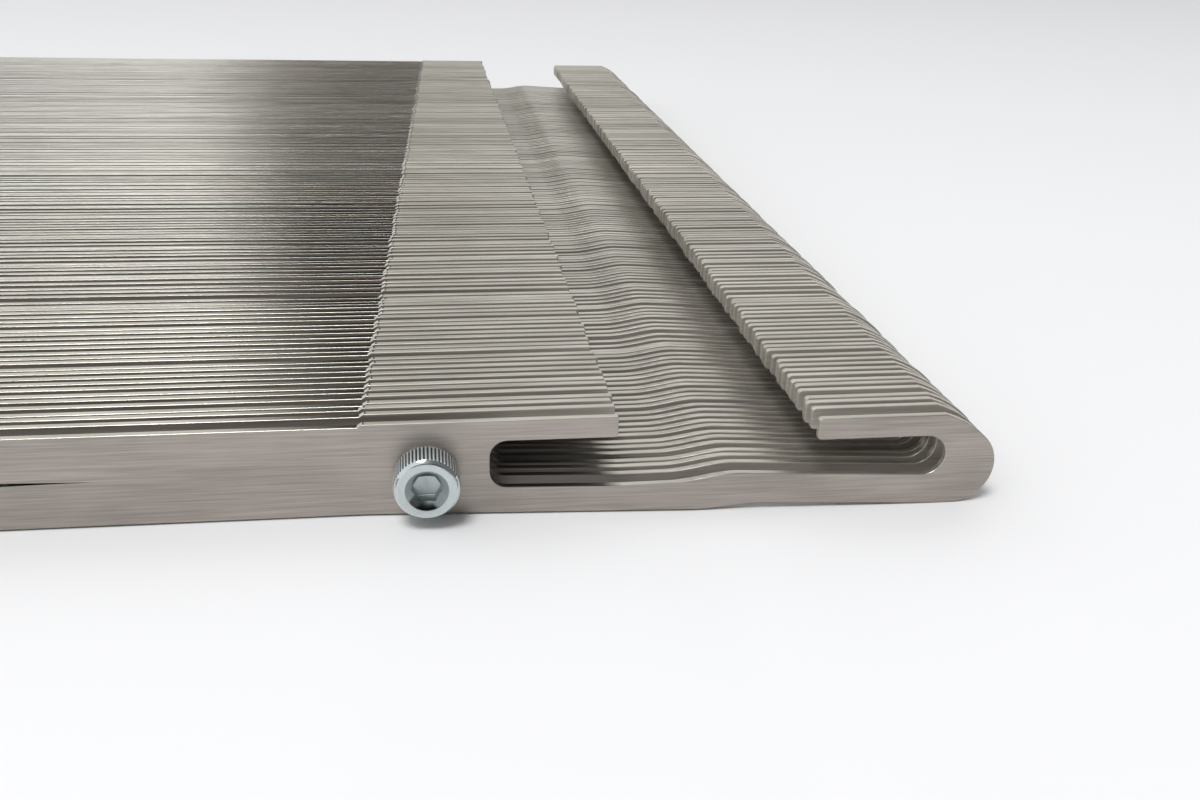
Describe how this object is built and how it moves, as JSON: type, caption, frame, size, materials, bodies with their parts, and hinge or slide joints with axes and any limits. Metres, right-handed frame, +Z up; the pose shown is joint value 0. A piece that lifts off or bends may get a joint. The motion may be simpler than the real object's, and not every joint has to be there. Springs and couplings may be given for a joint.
{
  "type": "bundle of loom heddles",
  "caption": "Bundle of flat steel heddles with open C-shaped end loops, hung on two binding rods that small socket head cap screws close.",
  "frame": {"origin": "middle of the bundle, on the surface that the end loops stand on", "axes": "+X along the heddles towards the end that the picture shows, +Y through the bundle from the front heddle to the rearmost, +Z up"},
  "size_m": [0.28, 0.1486, 0.0065],
  "materials": {
    "heddle_steel": "hardened strip steel, brushed lengthwise, with rounded bright edges",
    "rod_steel": "bright drawn steel rod",
    "zinc_plated_steel": "bluish bright zinc plating on a straight-knurled head"
  },
  "bodies": {
    "root": {"binding_rod_right": "rod_steel", "binding_rod_left": "rod_steel", "heddle_pack_28": "heddle_steel"},
    "heddle_01": {"heddle_01": "heddle_steel"},
    "heddle_02": {"heddle_02": "heddle_steel"},
    "heddle_03": {"heddle_03": "heddle_steel"},
    "heddle_04": {"heddle_04": "heddle_steel"},
    "heddle_05": {"heddle_05": "heddle_steel"},
    "heddle_06": {"heddle_06": "heddle_steel"},
    "heddle_07": {"heddle_07": "heddle_steel"},
    "heddle_08": {"heddle_08": "heddle_steel"},
    "heddle_09": {"heddle_09": "heddle_steel"},
    "heddle_10": {"heddle_10": "heddle_steel"},
    "heddle_11": {"heddle_11": "heddle_steel"},
    "heddle_12": {"heddle_12": "heddle_steel"},
    "heddle_13": {"heddle_13": "heddle_steel"},
    "heddle_14": {"heddle_14": "heddle_steel"},
    "heddle_15": {"heddle_15": "heddle_steel"},
    "heddle_16": {"heddle_16": "heddle_steel"},
    "heddle_17": {"heddle_17": "heddle_steel"},
    "heddle_18": {"heddle_18": "heddle_steel"},
    "heddle_19": {"heddle_19": "heddle_steel"},
    "heddle_20": {"heddle_20": "heddle_steel"},
    "heddle_21": {"heddle_21": "heddle_steel"},
    "heddle_22": {"heddle_22": "heddle_steel"},
    "heddle_23": {"heddle_23": "heddle_steel"},
    "heddle_24": {"heddle_24": "heddle_steel"},
    "heddle_pack_01": {"heddle_pack_01": "heddle_steel"},
    "heddle_pack_02": {"heddle_pack_02": "heddle_steel"},
    "heddle_pack_03": {"heddle_pack_03": "heddle_steel"},
    "heddle_pack_04": {"heddle_pack_04": "heddle_steel"},
    "heddle_pack_05": {"heddle_pack_05": "heddle_steel"},
    "heddle_pack_06": {"heddle_pack_06": "heddle_steel"},
    "heddle_pack_07": {"heddle_pack_07": "heddle_steel"},
    "heddle_pack_08": {"heddle_pack_08": "heddle_steel"},
    "heddle_pack_09": {"heddle_pack_09": "heddle_steel"},
    "heddle_pack_10": {"heddle_pack_10": "heddle_steel"},
    "heddle_pack_11": {"heddle_pack_11": "heddle_steel"},
    "heddle_pack_12": {"heddle_pack_12": "heddle_steel"},
    "heddle_pack_13": {"heddle_pack_13": "heddle_steel"},
    "heddle_pack_14": {"heddle_pack_14": "heddle_steel"},
    "heddle_pack_15": {"heddle_pack_15": "heddle_steel"},
    "heddle_pack_16": {"heddle_pack_16": "heddle_steel"},
    "heddle_pack_17": {"heddle_pack_17": "heddle_steel"},
    "heddle_pack_18": {"heddle_pack_18": "heddle_steel"},
    "heddle_pack_19": {"heddle_pack_19": "heddle_steel"},
    "heddle_pack_20": {"heddle_pack_20": "heddle_steel"},
    "heddle_pack_21": {"heddle_pack_21": "heddle_steel"},
    "heddle_pack_22": {"heddle_pack_22": "heddle_steel"},
    "heddle_pack_23": {"heddle_pack_23": "heddle_steel"},
    "heddle_pack_24": {"heddle_pack_24": "heddle_steel"},
    "heddle_pack_25": {"heddle_pack_25": "heddle_steel"},
    "heddle_pack_26": {"heddle_pack_26": "heddle_steel"},
    "heddle_pack_27": {"heddle_pack_27": "heddle_steel"},
    "cap_screw_front_right": {"cap_screw_front_right": "zinc_plated_steel"},
    "cap_screw_front_left": {"cap_screw_front_left": "zinc_plated_steel"},
    "cap_screw_rear_right": {"cap_screw_rear_right": "zinc_plated_steel"},
    "cap_screw_rear_left": {"cap_screw_rear_left": "zinc_plated_steel"}
  },
  "joints": [
    {"name": "heddle_01_slide", "type": "slide", "parent": "root", "child": "heddle_01", "axis": [0, 1, 0], "range_m": [0, 0.0008]},
    {"name": "heddle_02_slide", "type": "slide", "parent": "root", "child": "heddle_02", "axis": [0, 1, 0], "range_m": [0, 0.000421]},
    {"name": "heddle_03_slide", "type": "slide", "parent": "root", "child": "heddle_03", "axis": [0, 1, 0], "range_m": [0, 0.00012]},
    {"name": "heddle_04_slide", "type": "slide", "parent": "root", "child": "heddle_04", "axis": [0, 1, 0], "range_m": [0, 0.000442]},
    {"name": "heddle_05_slide", "type": "slide", "parent": "root", "child": "heddle_05", "axis": [0, 1, 0], "range_m": [0, 0.000268]},
    {"name": "heddle_06_slide", "type": "slide", "parent": "root", "child": "heddle_06", "axis": [0, 1, 0], "range_m": [0, 0.000203]},
    {"name": "heddle_07_slide", "type": "slide", "parent": "root", "child": "heddle_07", "axis": [0, 1, 0], "range_m": [0, 0.000473]},
    {"name": "heddle_08_slide", "type": "slide", "parent": "root", "child": "heddle_08", "axis": [0, 1, 0], "range_m": [0, 0.00014]},
    {"name": "heddle_09_slide", "type": "slide", "parent": "root", "child": "heddle_09", "axis": [0, 1, 0], "range_m": [0, 0.000361]},
    {"name": "heddle_10_slide", "type": "slide", "parent": "root", "child": "heddle_10", "axis": [0, 1, 0], "range_m": [0, 0.000368]},
    {"name": "heddle_11_slide", "type": "slide", "parent": "root", "child": "heddle_11", "axis": [0, 1, 0], "range_m": [0, 0.000136]},
    {"name": "heddle_12_slide", "type": "slide", "parent": "root", "child": "heddle_12", "axis": [0, 1, 0], "range_m": [0, 0.000471]},
    {"name": "heddle_13_slide", "type": "slide", "parent": "root", "child": "heddle_13", "axis": [0, 1, 0], "range_m": [0, 0.000209]},
    {"name": "heddle_14_slide", "type": "slide", "parent": "root", "child": "heddle_14", "axis": [0, 1, 0], "range_m": [0, 0.000261]},
    {"name": "heddle_15_slide", "type": "slide", "parent": "root", "child": "heddle_15", "axis": [0, 1, 0], "range_m": [0, 0.000447]},
    {"name": "heddle_16_slide", "type": "slide", "parent": "root", "child": "heddle_16", "axis": [0, 1, 0], "range_m": [0, 0.000121]},
    {"name": "heddle_17_slide", "type": "slide", "parent": "root", "child": "heddle_17", "axis": [0, 1, 0], "range_m": [0, 0.000416]},
    {"name": "heddle_18_slide", "type": "slide", "parent": "root", "child": "heddle_18", "axis": [0, 1, 0], "range_m": [0, 0.000307]},
    {"name": "heddle_19_slide", "type": "slide", "parent": "root", "child": "heddle_19", "axis": [0, 1, 0], "range_m": [0, 0.000173]},
    {"name": "heddle_20_slide", "type": "slide", "parent": "root", "child": "heddle_20", "axis": [0, 1, 0], "range_m": [0, 0.000479]},
    {"name": "heddle_21_slide", "type": "slide", "parent": "root", "child": "heddle_21", "axis": [0, 1, 0], "range_m": [0, 0.000161]},
    {"name": "heddle_22_slide", "type": "slide", "parent": "root", "child": "heddle_22", "axis": [0, 1, 0], "range_m": [0, 0.000324]},
    {"name": "heddle_23_slide", "type": "slide", "parent": "root", "child": "heddle_23", "axis": [0, 1, 0], "range_m": [0, 0.000402]},
    {"name": "heddle_24_slide", "type": "slide", "parent": "root", "child": "heddle_24", "axis": [0, 1, 0], "range_m": [0, 0.000124]},
    {"name": "heddle_pack_01_slide", "type": "slide", "parent": "root", "child": "heddle_pack_01", "axis": [0, 1, 0], "range_m": [0, 0.000299]},
    {"name": "heddle_pack_02_slide", "type": "slide", "parent": "root", "child": "heddle_pack_02", "axis": [0, 1, 0], "range_m": [0, 0.000299]},
    {"name": "heddle_pack_03_slide", "type": "slide", "parent": "root", "child": "heddle_pack_03", "axis": [0, 1, 0], "range_m": [0, 0.000299]},
    {"name": "heddle_pack_04_slide", "type": "slide", "parent": "root", "child": "heddle_pack_04", "axis": [0, 1, 0], "range_m": [0, 0.000299]},
    {"name": "heddle_pack_05_slide", "type": "slide", "parent": "root", "child": "heddle_pack_05", "axis": [0, 1, 0], "range_m": [0, 0.000299]},
    {"name": "heddle_pack_06_slide", "type": "slide", "parent": "root", "child": "heddle_pack_06", "axis": [0, 1, 0], "range_m": [0, 0.000299]},
    {"name": "heddle_pack_07_slide", "type": "slide", "parent": "root", "child": "heddle_pack_07", "axis": [0, 1, 0], "range_m": [0, 0.000299]},
    {"name": "heddle_pack_08_slide", "type": "slide", "parent": "root", "child": "heddle_pack_08", "axis": [0, 1, 0], "range_m": [0, 0.000299]},
    {"name": "heddle_pack_09_slide", "type": "slide", "parent": "root", "child": "heddle_pack_09", "axis": [0, 1, 0], "range_m": [0, 0.000299]},
    {"name": "heddle_pack_10_slide", "type": "slide", "parent": "root", "child": "heddle_pack_10", "axis": [0, 1, 0], "range_m": [0, 0.000299]},
    {"name": "heddle_pack_11_slide", "type": "slide", "parent": "root", "child": "heddle_pack_11", "axis": [0, 1, 0], "range_m": [0, 0.000299]},
    {"name": "heddle_pack_12_slide", "type": "slide", "parent": "root", "child": "heddle_pack_12", "axis": [0, 1, 0], "range_m": [0, 0.000299]},
    {"name": "heddle_pack_13_slide", "type": "slide", "parent": "root", "child": "heddle_pack_13", "axis": [0, 1, 0], "range_m": [0, 0.000299]},
    {"name": "heddle_pack_14_slide", "type": "slide", "parent": "root", "child": "heddle_pack_14", "axis": [0, 1, 0], "range_m": [0, 0.000299]},
    {"name": "heddle_pack_15_slide", "type": "slide", "parent": "root", "child": "heddle_pack_15", "axis": [0, 1, 0], "range_m": [0, 0.000299]},
    {"name": "heddle_pack_16_slide", "type": "slide", "parent": "root", "child": "heddle_pack_16", "axis": [0, 1, 0], "range_m": [0, 0.000299]},
    {"name": "heddle_pack_17_slide", "type": "slide", "parent": "root", "child": "heddle_pack_17", "axis": [0, 1, 0], "range_m": [0, 0.000299]},
    {"name": "heddle_pack_18_slide", "type": "slide", "parent": "root", "child": "heddle_pack_18", "axis": [0, 1, 0], "range_m": [0, 0.000299]},
    {"name": "heddle_pack_19_slide", "type": "slide", "parent": "root", "child": "heddle_pack_19", "axis": [0, 1, 0], "range_m": [0, 0.000299]},
    {"name": "heddle_pack_20_slide", "type": "slide", "parent": "root", "child": "heddle_pack_20", "axis": [0, 1, 0], "range_m": [0, 0.000299]},
    {"name": "heddle_pack_21_slide", "type": "slide", "parent": "root", "child": "heddle_pack_21", "axis": [0, 1, 0], "range_m": [0, 0.000299]},
    {"name": "heddle_pack_22_slide", "type": "slide", "parent": "root", "child": "heddle_pack_22", "axis": [0, 1, 0], "range_m": [0, 0.000299]},
    {"name": "heddle_pack_23_slide", "type": "slide", "parent": "root", "child": "heddle_pack_23", "axis": [0, 1, 0], "range_m": [0, 0.000299]},
    {"name": "heddle_pack_24_slide", "type": "slide", "parent": "root", "child": "heddle_pack_24", "axis": [0, 1, 0], "range_m": [0, 0.000299]},
    {"name": "heddle_pack_25_slide", "type": "slide", "parent": "root", "child": "heddle_pack_25", "axis": [0, 1, 0], "range_m": [0, 0.000299]},
    {"name": "heddle_pack_26_slide", "type": "slide", "parent": "root", "child": "heddle_pack_26", "axis": [0, 1, 0], "range_m": [0, 0.000299]},
    {"name": "heddle_pack_27_slide", "type": "slide", "parent": "root", "child": "heddle_pack_27", "axis": [0, 1, 0], "range_m": [0, 0.000299]},
    {"name": "cap_screw_front_right_turn", "type": "hinge", "parent": "root", "child": "cap_screw_front_right", "pos_m": [0.1054, -0.07225, 0.0033], "axis": [0, -1, 0], "continuous": true},
    {"name": "cap_screw_front_left_turn", "type": "hinge", "parent": "root", "child": "cap_screw_front_left", "pos_m": [-0.1054, -0.07225, 0.0033], "axis": [0, -1, 0], "continuous": true},
    {"name": "cap_screw_rear_right_turn", "type": "hinge", "parent": "root", "child": "cap_screw_rear_right", "pos_m": [0.1054, 0.07225, 0.0033], "axis": [0, 1, 0], "continuous": true},
    {"name": "cap_screw_rear_left_turn", "type": "hinge", "parent": "root", "child": "cap_screw_rear_left", "pos_m": [-0.1054, 0.07225, 0.0033], "axis": [0, 1, 0], "continuous": true}
  ]
}
